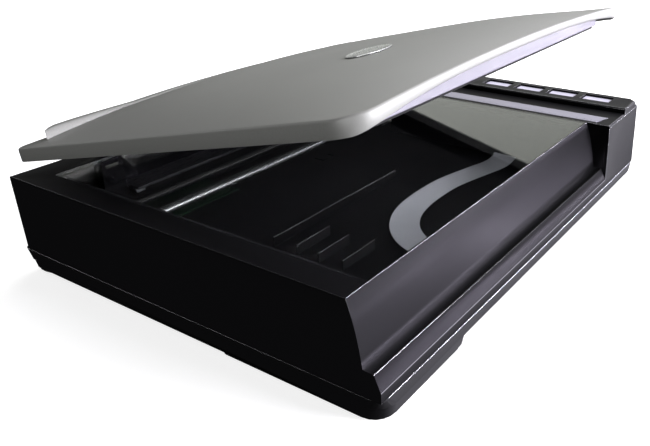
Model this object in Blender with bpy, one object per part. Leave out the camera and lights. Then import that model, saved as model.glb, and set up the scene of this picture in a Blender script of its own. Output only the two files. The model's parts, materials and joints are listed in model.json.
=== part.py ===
"""Large-format flatbed scanner with a book edge, built as separate parts around its scanning mechanism.

Frame: +X along the book edge towards the button panel, +Y towards the hinges, +Z up; the origin is
on the table, under the middle of the housing. At rest the lid stands ajar on its raised hinge posts.
The lid's parts are modelled in the lid's own frame: origin on the hinge pin, level when the lid is shut.
"""

import math

import bmesh
import bpy
from mathutils import Matrix, Vector

# Driving dimensions, in metres
WIDTH = 0.623
DEPTH = 0.491
TOP_Z = 0.115
PANEL_Z = 0.1225
SEAM_Z = 0.0295
FLOOR_Z = 0.016
SKIRT_Z = 0.005
FOOT_Z = 0.0018
WALL = 0.0025
GAP = 0.0003
DECK_Z = FLOOR_Z + WALL + GAP
LEFT_X, RIGHT_X = -WIDTH / 2, WIDTH / 2
FRONT_Y, BACK_Y = -DEPTH / 2, DEPTH / 2
HOUSING_CORNER = 0.012

# The book edge: convex slope, narrow ledge, lip and chamfer, as (y, z)
EDGE_Y = -0.2140
SLOPE_CONTROL = (-0.2240, 0.0890)
LEDGE_IN = (-0.2280, 0.0555)
LEDGE_OUT = (-0.2390, 0.0550)
CHAMFER_FOOT = (FRONT_Y, 0.0400)

# End block and button panel
BLOCK_X = 0.1965
STEP_X = 0.258
BUTTON_X = 0.288
BUTTON_ROW_Y = -0.194
BUTTON_PITCH = 0.052
BUTTON_COUNT = 4
BUTTON_SIZE = (0.026, 0.042)
BUTTON_SUNK = 0.0030

# Platen
GLASS_LOW = (-0.2830, -0.2125)
GLASS_HIGH = (0.1960, 0.2050)
GLASS_THICKNESS = 0.0038
FRAME_THICKNESS = 0.0065
SHELF = 0.005
RULER_LOW, RULER_HIGH = (0.2035, -0.2280), (0.2185, 0.2000)

# Lid, in its own frame
LID_OPEN_DEG = 13.85
LID_LIFT = 0.0146
PIVOT_SHUT_Z = 0.1174
PIVOT_Y, PIVOT_Z = 0.236, PIVOT_SHUT_Z + LID_LIFT
LID_LEFT, LID_RIGHT = -0.3060, 0.2575
LID_FRONT, LID_REAR = -0.4780, -0.0010
LID_RIM_Z = -0.0020
LID_CREASE_Z = 0.0130
LID_EDGE_CROWN = 0.0085
LID_DOME = 0.0185
LID_ARCH = 0.0140
LID_WALL = 0.0025
LINER_LOW, LINER_HIGH = (-0.2810, -0.4700), (0.1860, -0.0450)
COVER_LOW, COVER_HIGH, COVER_TOP = (-0.2940, -0.0400), (0.2500, -0.0100), 0.0295
COVER_CLEAR = 0.0005
COVER_END_SLANT = 0.014
BADGE_CENTRE, BADGE_HALF = (-0.105, -0.343), (0.030, 0.020)
STOP_XS, STOP_Y, STOP_RADIUS = {"left": -0.292, "right": 0.235}, -0.440, 0.004
HINGE_XS = {"left": -0.200, "right": 0.152}
PIN_RADIUS = 0.0025
KNUCKLE_RADIUS = 0.0052
POST_HALF_X, POST_HALF_Y = 0.011, 0.0055

# Scan drive
ROD_Y, ROD_Z, ROD_RADIUS = 0.128, 0.060, 0.005
BELT_Y, BELT_WIDTH = 0.155, 0.006
PULLEY_RADIUS, BELT_THICKNESS = 0.0080, 0.0014
DRIVE_X, IDLER_X = 0.290, -0.285
CARRIAGE_LOW = (0.2140, -0.1980, 0.0345)
CARRIAGE_HIGH = (0.2960, 0.1120, 0.0930)
CARRIAGE_WALL = 0.0022
AXLE_RADIUS = 0.0018
MOTOR_HALF, MOTOR_Y0, MOTOR_Y1 = 0.0170, 0.1760, 0.2080

# Electronics: boards, parts that stand on the main board, and rear ports as (x0, x1, z0, z1)
BOARD_LOW, BOARD_HIGH = (-0.2880, 0.1700, 0.0215), (-0.0600, 0.2360, 0.0231)
BOARD_PARTS = (
    (-0.200, -0.176, 0.186, 0.210, 0.003),
    (-0.150, -0.134, 0.190, 0.206, 0.003),
    (-0.110, -0.070, 0.176, 0.184, 0.008),
    (-0.262, -0.246, 0.180, 0.196, 0.018),
)
KEY_BOARD_LOW, KEY_BOARD_HIGH = (0.2650, -0.2260, 0.1030), (0.3080, 0.0440, 0.1045)
LIGHT_Y, LIGHT_RADIUS = 0.030, 0.0022
RIBBON_ROUTE = (
    (-0.0720, -0.1750, 0.0225),
    (-0.0720, -0.1400, 0.0242),
    (-0.0650, -0.1130, 0.0256),
    (-0.0460, -0.0890, 0.0266),
    (-0.0180, -0.0720, 0.0271),
    (0.0150, -0.0630, 0.0272),
    (0.0550, -0.0600, 0.0272),
    (0.1000, -0.0620, 0.0272),
    (0.1500, -0.0670, 0.0272),
    (0.1900, -0.0710, 0.0285),
    (0.2085, -0.0730, 0.0330),
    (0.2128, -0.0735, 0.0400),
    (0.2128, -0.0735, 0.0480),
)
REAR_PORTS = {
    "power_inlet": (-0.270, -0.256, 0.044, 0.056),
    "power_switch": (-0.250, -0.230, 0.044, 0.057),
    "usb_socket": (-0.172, -0.159, 0.044, 0.056),
}


def clear_scene():
    for scene_object in list(bpy.data.objects):
        bpy.data.objects.remove(scene_object, do_unlink=True)


def material(name, colour, roughness, metallic=0.0, alpha=1.0):
    made = bpy.data.materials.new(name)
    made.use_nodes = True
    shader = made.node_tree.nodes["Principled BSDF"]
    shader.inputs["Base Color"].default_value = (*colour, 1.0)
    shader.inputs["Roughness"].default_value = roughness
    shader.inputs["Metallic"].default_value = metallic
    shader.inputs["Alpha"].default_value = alpha
    return made


def black_plastic(name):
    return material(name, (0.018, 0.018, 0.020), 0.42)


def dark_plastic(name):
    return material(name, (0.030, 0.030, 0.032), 0.60)


def steel(name):
    return material(name, (0.62, 0.62, 0.64), 0.25, 1.0)


def white_plastic(name):
    return material(name, (0.74, 0.73, 0.80), 0.45)


def rubber(name):
    return material(name, (0.025, 0.025, 0.025), 0.85)


def mirror_glass(name):
    return material(name, (0.80, 0.82, 0.84), 0.05, 1.0)


def lamp_glass(name):
    return material(name, (0.95, 0.95, 0.92), 0.20)


def circuit_board(name):
    return material(name, (0.03, 0.16, 0.07), 0.50)


def empty(name, location, tilt=0.0):
    frame = bpy.data.objects.new(name, None)
    frame.location = location
    frame.rotation_euler = (tilt, 0.0, 0.0)
    bpy.context.scene.collection.objects.link(frame)
    return frame


def add(name, mesh, finish=None, parent=None, origin=(0.0, 0.0, 0.0)):
    """Links a bmesh as an object; its points are given in its parent's frame and moved to its origin."""
    bmesh.ops.recalc_face_normals(mesh, faces=mesh.faces)
    bmesh.ops.translate(mesh, verts=mesh.verts, vec=-Vector(origin))
    data = bpy.data.meshes.new(name)
    mesh.to_mesh(data)
    mesh.free()
    made = bpy.data.objects.new(name, data)
    made.location = origin
    made.parent = parent
    bpy.context.scene.collection.objects.link(made)
    if finish:
        data.materials.append(finish(name))
    return made


def attach(made, frame):
    """Parents an object to a frame that is only shifted, and leaves the object where it is."""
    made.parent = frame
    made.matrix_parent_inverse = Matrix.Translation(-frame.location)
    return made


def smooth(made, angle_deg=35.0):
    made.data.shade_smooth()
    made.data.set_sharp_from_angle(angle=math.radians(angle_deg))
    return made


def box_mesh(low, high):
    mesh = bmesh.new()
    bmesh.ops.create_cube(mesh, size=1.0)
    size = [top - bottom for bottom, top in zip(low, high)]
    centre = [(top + bottom) / 2 for bottom, top in zip(low, high)]
    bmesh.ops.scale(mesh, verts=mesh.verts, vec=size)
    bmesh.ops.translate(mesh, verts=mesh.verts, vec=centre)
    return mesh


def lofted(rings):
    """A closed skin over rings of equally many points, with a cap on the first and the last ring."""
    mesh = bmesh.new()
    rows = [[mesh.verts.new(point) for point in ring] for ring in rings]
    count = len(rows[0])
    for lower, upper in zip(rows, rows[1:]):
        for i in range(count):
            j = (i + 1) % count
            mesh.faces.new((lower[i], lower[j], upper[j], upper[i]))
    mesh.faces.new(rows[0])
    mesh.faces.new(rows[-1])
    return mesh


def prism(outline, axis, start, end):
    """An outline extruded along an axis: (y, z) points along X, (x, z) along Y, (x, y) along Z."""

    def at(point, level):
        coordinates = list(point)
        coordinates.insert("xyz".index(axis), level)
        return coordinates

    return lofted([[at(point, level) for point in outline] for level in (start, end)])


def bar(axis, centre, start, end, radius, segments=20):
    """A round bar along an axis, centred on the other two coordinates."""
    turn = 2 * math.pi / segments
    outline = [
        (centre[0] + radius * math.cos(i * turn), centre[1] + radius * math.sin(i * turn))
        for i in range(segments)
    ]
    return prism(outline, axis, start, end)


def is_upright(edge):
    first, second = (vert.co for vert in edge.verts)
    return near(first.x, second.x) and near(first.y, second.y)


def bevel_corners(mesh, is_corner, radius, segments=4):
    """Rounds the upright edges whose ends lie at a corner."""
    upright = [edge for edge in mesh.edges if is_upright(edge)]
    edges = [edge for edge in upright if is_corner(edge.verts[0].co)]
    bmesh.ops.bevel(mesh, geom=edges, offset=radius, segments=segments, profile=0.5, affect="EDGES")
    return mesh


def near(value, wanted):
    return abs(value - wanted) < 1e-6


def hidden(name, mesh, parent=None):
    helper = add(name, mesh, parent=parent)
    helper.hide_render = True
    helper.display_type = "WIRE"
    return helper


def combine(made, operation, mesh, label):
    helper = hidden(f"{made.name}_{label}", mesh, made.parent)
    modifier = made.modifiers.new(label, "BOOLEAN")
    modifier.operation = operation
    modifier.solver = "EXACT"
    modifier.object = helper


def cut(made, mesh, label):
    combine(made, "DIFFERENCE", mesh, label)


def join(made, mesh, label):
    combine(made, "UNION", mesh, label)


def box(name, low, high, finish, parent=None, origin=(0.0, 0.0, 0.0)):
    return add(name, box_mesh(low, high), finish, parent, origin)


def slope_points(inward=0.0, drop=0.0, steps=7):
    """The book edge's convex slope from the platen down to the ledge, as (y, z)."""
    start, end = (EDGE_Y, TOP_Z), LEDGE_IN
    points = []
    for i in range(steps + 1):
        t = i / steps
        y, z = (
            (1 - t) ** 2 * a + 2 * t * (1 - t) * b + t**2 * c
            for a, b, c in zip(start, SLOPE_CONTROL, end)
        )
        points.append((y + inward, z - drop))
    return points


def rounded_rectangle(low, high, radii, side_steps, arc_steps):
    """Points round a rectangle with the corners front left, front right, back right, back left."""
    centres_angles = (
        (low[0], low[1], 1, 1, 180),
        (high[0], low[1], -1, 1, 270),
        (high[0], high[1], -1, -1, 0),
        (low[0], high[1], 1, -1, 90),
    )
    corners = []
    for (x, y, inward_x, inward_y, first), radius in zip(centres_angles, radii):
        arc = []
        for i in range(arc_steps + 1):
            angle = math.radians(first + 90 * i / arc_steps)
            arc.append(
                (
                    x + radius * (inward_x + math.cos(angle)),
                    y + radius * (inward_y + math.sin(angle)),
                )
            )
        corners.append(arc)
    points = []
    for arc, following in zip(corners, corners[1:] + corners[:1]):
        points += arc
        (x0, y0), (x1, y1) = arc[-1], following[0]
        for i in range(1, side_steps):
            t = i / side_steps
            points.append((x0 + (x1 - x0) * t, y0 + (y1 - y0) * t))
    return points


# ---- Lower housing and feet ----


def tub_outline(left, front, right, back, radii):
    """The housing's outline, drawn in from the four sides by these amounts."""
    return rounded_rectangle(
        (LEFT_X + left, FRONT_Y + front), (RIGHT_X - right, BACK_Y - back), radii, 1, 5
    )


def lower_housing():
    """Tub with a raised floor, a deep foot along its left side and ribs on its floor."""
    floor = tub_outline(0.002, 0.001, 0.001, 0.003, (0.022, 0.008, 0.008, 0.010))
    rim = tub_outline(0.0, 0.0, 0.0, 0.0, (0.010, 0.004, 0.008, 0.008))
    skin = lofted([[(x, y, FLOOR_Z) for x, y in floor], [(x, y, SEAM_Z) for x, y in rim]])
    tub = add("lower_housing", skin, black_plastic)
    left, front, back = LEFT_X + 0.003, FRONT_Y + 0.0015, BACK_Y - 0.004
    foot_inset = 0.0015
    for label, low, high, bottom in (
        ("left_skirt", (left, front), (-0.172, back), SKIRT_Z),
        ("front_foot", (left + foot_inset, front + foot_inset), (-0.176, -0.054), FOOT_Z),
        ("back_foot", (left + foot_inset, 0.200), (-0.180, back - foot_inset), FOOT_Z),
    ):
        join(tub, foot_block(low, high, bottom), label)
    inner = tub_outline(0.005, 0.005, 0.005, 0.006, (0.019, 0.006, 0.006, 0.008))
    cut(tub, prism(inner, "z", FLOOR_Z + WALL, SEAM_Z + 0.01), "hollow")
    pocket_floor = FOOT_Z + 0.0027
    cut(tub, box_mesh((-0.2990, -0.2330, pocket_floor), (-0.1790, -0.0580, 0.03)), "foot_pocket")
    ribs = (
        (0.020, -0.150, 0.093),
        (-0.0145, -0.150, -0.093),
        (-0.0475, -0.152, -0.099),
        (-0.080, -0.151, -0.094),
    )
    rib_thickness, rib_top = 0.002, 0.0305
    for i, (y, x0, x1) in enumerate(ribs):
        join(tub, box_mesh((x0, y, FLOOR_Z + 0.001), (x1, y + rib_thickness, rib_top)), f"rib_{i + 1}")
    cut(tub, box_mesh((0.090, 0.150, 0.010), (0.116, 0.162, 0.03)), "lock_slot")


def foot_block(low, high, bottom):
    """A block under the floor, drawn in towards its underside, with a large radius at the front left."""
    radii = (0.020, 0.006, 0.006, 0.008)
    draw_in = 0.002
    wide = rounded_rectangle(low, high, radii, 1, 5)
    narrow = rounded_rectangle(
        (low[0] + draw_in, low[1] + draw_in), (high[0] - draw_in, high[1] - draw_in), radii, 1, 5
    )
    return lofted([[(x, y, bottom) for x, y in narrow], [(x, y, FLOOR_Z + 0.0015) for x, y in wide]])


def feet():
    """Thin pads under the moulded left feet and tall feet under the right end."""
    pad_top, tall_top = FOOT_Z - GAP, FLOOR_Z - GAP
    for name, x, y, top, radius in (
        ("foot_pad_front_left", -0.250, -0.190, pad_top, 0.011),
        ("foot_pad_back_left", -0.250, 0.218, pad_top, 0.011),
        ("foot_front_right", 0.262, -0.190, tall_top, 0.013),
        ("foot_back_right", 0.262, 0.205, tall_top, 0.013),
    ):
        smooth(add(name, bar("z", (x, y), 0.0, top, radius), rubber, origin=(x, y, 0.0)))


# ---- Upper housing ----


def upper_housing():
    """Shell of the body: book edge, platen frame, end block and raised button panel, open underneath."""
    bottom = SEAM_Z + GAP
    top_round = 0.003
    back_top = [
        (BACK_Y - top_round, TOP_Z),
        (BACK_Y - 0.3 * top_round, TOP_Z - 0.3 * top_round),
        (BACK_Y, TOP_Z - top_round),
    ]
    profile = [(BACK_Y, bottom), (FRONT_Y, bottom), CHAMFER_FOOT, LEDGE_OUT]
    profile += list(reversed(slope_points())) + back_top
    body = prism(profile, "x", LEFT_X, BLOCK_X + 0.02)
    bevel_corners(body, lambda co: near(co.x, LEFT_X) and near(co.y, BACK_Y), HOUSING_CORNER)
    shell = add("upper_housing", body, black_plastic)
    front_top = [(FRONT_Y, TOP_Z - 0.002), (FRONT_Y + 0.002, TOP_Z)]
    block = prism([(BACK_Y, bottom), (FRONT_Y, bottom)] + front_top + back_top, "x", BLOCK_X, RIGHT_X)
    bevel_corners(block, lambda co: near(co.x, RIGHT_X) and near(co.y, BACK_Y), HOUSING_CORNER)
    join(shell, block, "end_block")
    join(shell, raised_panel(), "panel")
    cut(shell, body_cavity(), "cavity")
    low, high = (BLOCK_X + WALL, FRONT_Y + WALL, 0.0), (RIGHT_X - WALL, -0.190, TOP_Z - WALL)
    cut(shell, box_mesh(low, high), "block_cavity")
    low = (STEP_X + WALL, FRONT_Y + WALL + 0.001, TOP_Z - 0.008)
    high = (RIGHT_X - WALL - 0.001, BACK_Y - WALL - 0.002, PANEL_Z - WALL)
    cut(shell, box_mesh(low, high), "panel_cavity")
    platen_window(shell)
    panel_openings(shell)
    rear_openings(shell)


def raised_panel():
    """The panel that stands above the lid's landing, with its outer front corner cut off."""
    edge = 0.0015
    outline = [
        (STEP_X, BACK_Y - 0.004),
        (STEP_X, FRONT_Y + 0.0005),
        (RIGHT_X - 0.009, FRONT_Y + 0.0005),
        (RIGHT_X - 0.0005, FRONT_Y + 0.009),
        (RIGHT_X - 0.0005, BACK_Y - 0.009),
        (RIGHT_X - 0.009, BACK_Y - 0.004),
    ]
    centre = Vector(((STEP_X + RIGHT_X) / 2, 0.0))

    def drawn_in(point):
        offset = Vector(point) - centre
        return (point[0] - math.copysign(edge, offset.x), point[1] - math.copysign(edge, offset.y))

    rings = [[(x, y, z) for x, y in outline] for z in (TOP_Z - 0.006, PANEL_Z - edge)]
    rings.append([(*drawn_in(point), PANEL_Z) for point in outline])
    return lofted(rings)


def body_cavity():
    ceiling = TOP_Z - FRAME_THICKNESS
    inner = [(BACK_Y - WALL, 0.0), (FRONT_Y + WALL, 0.0), (FRONT_Y + WALL, CHAMFER_FOOT[1] - 0.001)]
    inner += [(LEDGE_OUT[0] + WALL, LEDGE_OUT[1] - WALL)]
    slope = [(y + WALL, z) for y, z in reversed(slope_points(steps=5)) if z < ceiling]
    slope[0] = (slope[0][0], slope[0][1] - WALL)
    inner += slope + [(EDGE_Y + WALL + 0.0006, ceiling), (BACK_Y - WALL, ceiling)]
    cavity = prism(inner, "x", LEFT_X + WALL, RIGHT_X - WALL)
    is_back = lambda co: near(co.y, BACK_Y - WALL) and near(abs(co.x), RIGHT_X - WALL)
    return bevel_corners(cavity, is_back, HOUSING_CORNER - WALL)


def platen_window(shell):
    """The window's upper step takes the glass; its lower step leaves the shelf that carries it."""
    low = (GLASS_LOW[0] - GAP, GLASS_LOW[1] - GAP, TOP_Z - GLASS_THICKNESS - GAP)
    high = (GLASS_HIGH[0] + GAP, GLASS_HIGH[1] + GAP, TOP_Z + 0.01)
    cut(shell, box_mesh(low, high), "glass_seat")
    low = (GLASS_LOW[0] + SHELF, GLASS_LOW[1] + 0.002, 0.09)
    high = (GLASS_HIGH[0] - SHELF, GLASS_HIGH[1] - SHELF, TOP_Z)
    cut(shell, box_mesh(low, high), "window")
    low = (RULER_LOW[0] - GAP, RULER_LOW[1] - GAP, TOP_Z - 0.0008)
    high = (RULER_HIGH[0] + GAP, RULER_HIGH[1] + GAP, TOP_Z + 0.01)
    cut(shell, box_mesh(low, high), "ruler_recess")


def button_places():
    return [BUTTON_ROW_Y + i * BUTTON_PITCH for i in range(BUTTON_COUNT)]


def panel_openings(shell):
    half_x, half_y = BUTTON_SIZE[0] / 2, BUTTON_SIZE[1] / 2
    for i, y in enumerate(button_places()):
        low = (BUTTON_X - half_x, y - half_y, TOP_Z - 0.02)
        high = (BUTTON_X + half_x, y + half_y, PANEL_Z + 0.01)
        cut(shell, box_mesh(low, high), f"button_opening_{i + 1}")
    light = bar("z", (BUTTON_X, LIGHT_Y), TOP_Z - 0.02, PANEL_Z + 0.01, LIGHT_RADIUS + GAP, 16)
    cut(shell, light, "light_hole")


def rear_openings(shell):
    for side, x in HINGE_XS.items():
        low = (x - POST_HALF_X - GAP, PIVOT_Y - POST_HALF_Y - GAP, 0.09)
        high = (x + POST_HALF_X + GAP, PIVOT_Y + POST_HALF_Y + GAP, 0.13)
        cut(shell, box_mesh(low, high), f"{side}_post_hole")
        low = (x - 0.0175, LID_REAR + PIVOT_Y - 0.010, TOP_Z - 0.0045)
        high = (x + 0.0175, PIVOT_Y + 0.0065, TOP_Z + 0.01)
        cut(shell, box_mesh(low, high), f"{side}_knuckle_recess")
    for name, (x0, x1, z0, z1) in REAR_PORTS.items():
        port = box_mesh((x0 - GAP, BACK_Y - 0.01, z0 - GAP), (x1 + GAP, BACK_Y + 0.01, z1 + GAP))
        cut(shell, port, f"{name}_port")


def platen_parts():
    box(
        "platen_glass",
        (*GLASS_LOW, TOP_Z - GLASS_THICKNESS),
        (*GLASS_HIGH, TOP_Z),
        lambda name: material(name, (0.85, 0.90, 0.88), 0.03, alpha=0.25),
    )
    ruler = [
        (RULER_LOW[0], RULER_LOW[1] + 0.010),
        (RULER_HIGH[0], RULER_LOW[1]),
        (RULER_HIGH[0], RULER_HIGH[1]),
        (RULER_LOW[0], RULER_HIGH[1]),
    ]
    strip = prism(ruler, "z", TOP_Z - 0.0005, TOP_Z - 0.0001)
    add("size_guide_strip", strip, lambda name: material(name, (0.32, 0.32, 0.37), 0.35))
    low = (GLASS_HIGH[0] - 0.0045, -0.195, TOP_Z - FRAME_THICKNESS - 0.0015)
    high = (GLASS_HIGH[0] + 0.0080, 0.110, TOP_Z - FRAME_THICKNESS - GAP)
    box("calibration_strip", low, high, lambda name: material(name, (0.90, 0.90, 0.88), 0.60))


# ---- Button panel ----


def buttons():
    """Sunk caps on stems, each pressing a switch on the board under the panel."""
    cap_top = PANEL_Z - BUTTON_SUNK
    half_x, half_y = BUTTON_SIZE[0] / 2 - GAP, BUTTON_SIZE[1] / 2 - GAP
    for i, y in enumerate(button_places()):
        origin = (BUTTON_X, y, cap_top)
        low = (BUTTON_X - half_x, y - half_y, cap_top - 0.0035)
        cap = box(
            f"button_{i + 1}", low, (BUTTON_X + half_x, y + half_y, cap_top), white_plastic, origin=origin
        )
        stem = bar("z", (BUTTON_X, y), cap_top - 0.0105, cap_top - 0.002, 0.003, 12)
        join(cap, stem, "stem")
    board = box("button_board", KEY_BOARD_LOW, KEY_BOARD_HIGH, circuit_board)
    for i, y in enumerate(button_places()):
        switch = box_mesh((BUTTON_X - 0.003, y - 0.003, 0.1035), (BUTTON_X + 0.003, y + 0.003, 0.1068))
        join(board, switch, f"switch_{i + 1}")
    lens = bar("z", (BUTTON_X, LIGHT_Y), 0.1055, PANEL_Z - GAP, LIGHT_RADIUS, 16)
    smooth(add("status_light", lens, lambda name: material(name, (0.2, 0.75, 0.3), 0.2)))


# ---- Lid posts and hinges ----


def hinge_hardware(lift_frame, lid_frame):
    for side, x in HINGE_XS.items():
        hinge_socket(side, x)
        hinge_post(side, x, lift_frame)
        pin = bar("x", (PIVOT_Y, PIVOT_Z), x - 0.0165, x + 0.0165, PIN_RADIUS, 16)
        smooth(attach(add(f"hinge_pin_{side}", pin, steel, origin=(x, PIVOT_Y, PIVOT_Z)), lift_frame))
        hinge_leaf(side, x, lid_frame)


def hinge_socket(side, x):
    """Sleeve under the rear frame, in which the post slides."""
    low = (x - POST_HALF_X - 0.004, 0.2275, 0.038)
    high = (x + POST_HALF_X + 0.004, BACK_Y - WALL - GAP, TOP_Z - FRAME_THICKNESS - GAP)
    sleeve = box(f"hinge_socket_{side}", low, high, dark_plastic)
    low = (x - POST_HALF_X - GAP, PIVOT_Y - POST_HALF_Y - GAP, 0.03)
    high = (x + POST_HALF_X + GAP, PIVOT_Y + POST_HALF_Y + GAP, 0.12)
    cut(sleeve, box_mesh(low, high), "bore")


def hinge_post(side, x, parent):
    """Sliding post with a round head bored for the pin."""
    steps = 8
    head = [
        (
            PIVOT_Y + KNUCKLE_RADIUS * math.cos(math.pi * i / steps),
            PIVOT_Z + KNUCKLE_RADIUS * math.sin(math.pi * i / steps),
        )
        for i in range(steps + 1)
    ]
    foot_z = 0.050
    outline = [(PIVOT_Y + KNUCKLE_RADIUS, foot_z)] + head + [(PIVOT_Y - KNUCKLE_RADIUS, foot_z)]
    post = prism(outline, "x", x - POST_HALF_X + 0.0005, x + POST_HALF_X - 0.0005)
    made = add(f"hinge_post_{side}", post, dark_plastic, origin=(x, PIVOT_Y, PIVOT_Z))
    bore = bar("x", (PIVOT_Y, PIVOT_Z), x - 0.02, x + 0.02, PIN_RADIUS + GAP, 16)
    cut(made, bore, "pin_bore")
    attach(made, parent)


def hinge_leaf(side, x, parent):
    """Bracket in the lid: two ears on the pin, joined by a plate under the lid's skin."""
    steps = 8
    ear = [
        (KNUCKLE_RADIUS * math.cos(-math.pi * 3 / 4 + math.pi * i / steps),
         KNUCKLE_RADIUS * math.sin(-math.pi * 3 / 4 + math.pi * i / steps))
        for i in range(steps + 1)
    ]
    ear += [(-0.006, 0.0065), (-0.034, 0.0065), (-0.034, 0.0035)]
    leaf = add(f"hinge_leaf_{side}", prism(ear, "x", x - 0.0160, x - POST_HALF_X - 0.0003), steel, parent)
    join(leaf, prism(ear, "x", x + POST_HALF_X + 0.0003, x + 0.0160), "second_ear")
    join(leaf, box_mesh((x - 0.0155, -0.0345, 0.0042), (x + 0.0155, -0.0080, 0.0068)), "plate")
    cut(leaf, bar("x", (0.0, 0.0), x - 0.03, x + 0.03, PIN_RADIUS + GAP, 16), "pin_bore")


# ---- Lid ----


def lid_crown(x, y):
    """Height of the lid's top skin: a crown along the hinge line, and a dome over the whole lid."""
    s = (2 * x - LID_LEFT - LID_RIGHT) / (LID_RIGHT - LID_LEFT)
    t = (2 * y - LID_FRONT - LID_REAR) / (LID_REAR - LID_FRONT)
    crown = LID_EDGE_CROWN * (1 - s * s)
    dome = LID_DOME * (1 - abs(s) ** 3) * (1 - t**4)
    return LID_CREASE_Z + crown + dome


def lid_rim(x, y):
    """The rim's lower edge, arched along the front for the fingers."""
    s = (2 * x - LID_LEFT - LID_RIGHT) / (LID_RIGHT - LID_LEFT)
    along_front = max(0.0, min(1.0, (LID_FRONT + 0.012 - y) / 0.010))
    return LID_RIM_Z + LID_ARCH * max(0.0, 1 - s**4) * along_front


def lid_rings(inset, top_drop):
    """Rings from the rim up and over the dome to its middle."""
    low = (LID_LEFT + inset, LID_FRONT + inset)
    high = (LID_RIGHT - inset, LID_REAR - inset)
    radii = [max(radius - inset, 0.002) for radius in (0.030, 0.030, 0.016, 0.016)]
    outline = rounded_rectangle(low, high, radii, 12, 5)
    middle = Vector(((low[0] + high[0]) / 2, (low[1] + high[1]) / 2))
    rings = [[(x, y, lid_rim(x, y)) for x, y in outline]]
    for share in (1.0, 0.992, 0.97, 0.90, 0.78, 0.62, 0.44, 0.26, 0.10):
        ring = []
        for x, y in outline:
            x, y = middle + (Vector((x, y)) - middle) * share
            edge_drop = 0.0025 if share == 1.0 else 0.0
            ring.append((x, y, lid_crown(x, y) - edge_drop - top_drop))
        rings.append(ring)
    return rings


def lid_shell(parent):
    """Domed cover, hollow underneath, with notches in its rear wall for the hinges."""
    outer = lid_rings(0.0, 0.0)
    inner = lid_rings(LID_WALL, LID_WALL)
    shell = add("lid_shell", lofted(list(reversed(inner)) + outer), lid_finish, parent)
    smooth(shell, 28.0)
    for side, x in HINGE_XS.items():
        notch = box_mesh((x - 0.0175, -0.012, LID_RIM_Z - 0.004), (x + 0.0175, 0.004, 0.0075))
        cut(shell, notch, f"{side}_notch")


def lid_finish(name):
    return material(name, (0.36, 0.37, 0.36), 0.40, 0.35)


def hinge_cover(parent):
    """Ridge along the lid's rear edge, resting on the domed skin, with slanted ends."""
    low, high = COVER_LOW, COVER_HIGH
    middle_y = (low[1] + high[1]) / 2
    steps = 24
    rings = []
    for i in range(steps + 1):
        x = low[0] + (high[0] - low[0]) * i / steps
        front, middle, back = (lid_crown(x, y) + COVER_CLEAR for y in (low[1], middle_y, high[1]))
        rise = min(1.0, min(x - low[0], high[0] - x) / COVER_END_SLANT)
        crest = front + 0.0015 + max(0.0, COVER_TOP - front - 0.0015) * rise
        rings.append(
            [
                (x, low[1], front),
                (x, low[1] + 0.002, crest - 0.001),
                (x, low[1] + 0.005, crest),
                (x, high[1] - 0.006, crest),
                (x, high[1], back + 0.0012),
                (x, high[1], back),
                (x, middle_y, middle + 0.0002),
            ]
        )
    add("lid_hinge_cover", lofted(rings), lid_finish, parent)


def lid_liner(parent):
    """Tray that closes the lid's underside; its side walls follow the crown of the skin."""
    low, high = LINER_LOW, LINER_HIGH
    steps = 16
    bottom = 0.0009

    def top_at(x):
        return lid_crown(x, LID_FRONT) - LID_WALL - 0.0022

    crest = [(low[0] + (high[0] - low[0]) * i / steps) for i in range(steps + 1)]
    outline = [(x, top_at(x)) for x in crest] + [(high[0], bottom), (low[0], bottom)]
    tray = add("lid_liner", prism(outline, "y", low[1], high[1]), white_plastic, parent)
    wall = 0.0028
    cut(
        tray,
        box_mesh((low[0] + wall, low[1] + wall, bottom + 0.002), (high[0] - wall, high[1] - wall, 0.05)),
        "hollow",
    )
    pad = rounded_rectangle(
        (low[0] + 0.003, low[1] + 0.003), (high[0] - 0.003, high[1] - 0.003), (0.006,) * 4, 1, 3
    )
    foam = prism(pad, "z", LID_RIM_Z + 0.0003, bottom - GAP)
    add("document_pad", foam, lambda name: material(name, (0.05, 0.05, 0.052), 0.80), parent)


def lid_trim(parent):
    """Blank oval badge lying on the dome, and the rubber stops at the lid's front corners."""
    (centre_x, centre_y), (half_x, half_y) = BADGE_CENTRE, BADGE_HALF
    count = 32
    rings = []
    under, over = 0.0007, 0.0016
    for lift, share in ((under, 0.2), (under, 0.6), (under, 1.0), (over, 0.96), (over, 0.6), (over, 0.2)):
        ring = []
        for i in range(count):
            angle = 2 * math.pi * i / count
            x = centre_x + half_x * share * math.cos(angle)
            y = centre_y + half_y * share * math.sin(angle)
            ring.append((x, y, lid_crown(x, y) + lift))
        rings.append(ring)
    add("lid_badge", lofted(rings), lambda name: material(name, (0.55, 0.56, 0.56), 0.30, 0.6), parent)
    for side, x in STOP_XS.items():
        stop = bar("z", (x, STOP_Y), LID_RIM_Z, 0.0060, STOP_RADIUS, 12)
        add(f"lid_stop_{side}", stop, rubber, parent)


# ---- Scan drive ----


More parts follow.
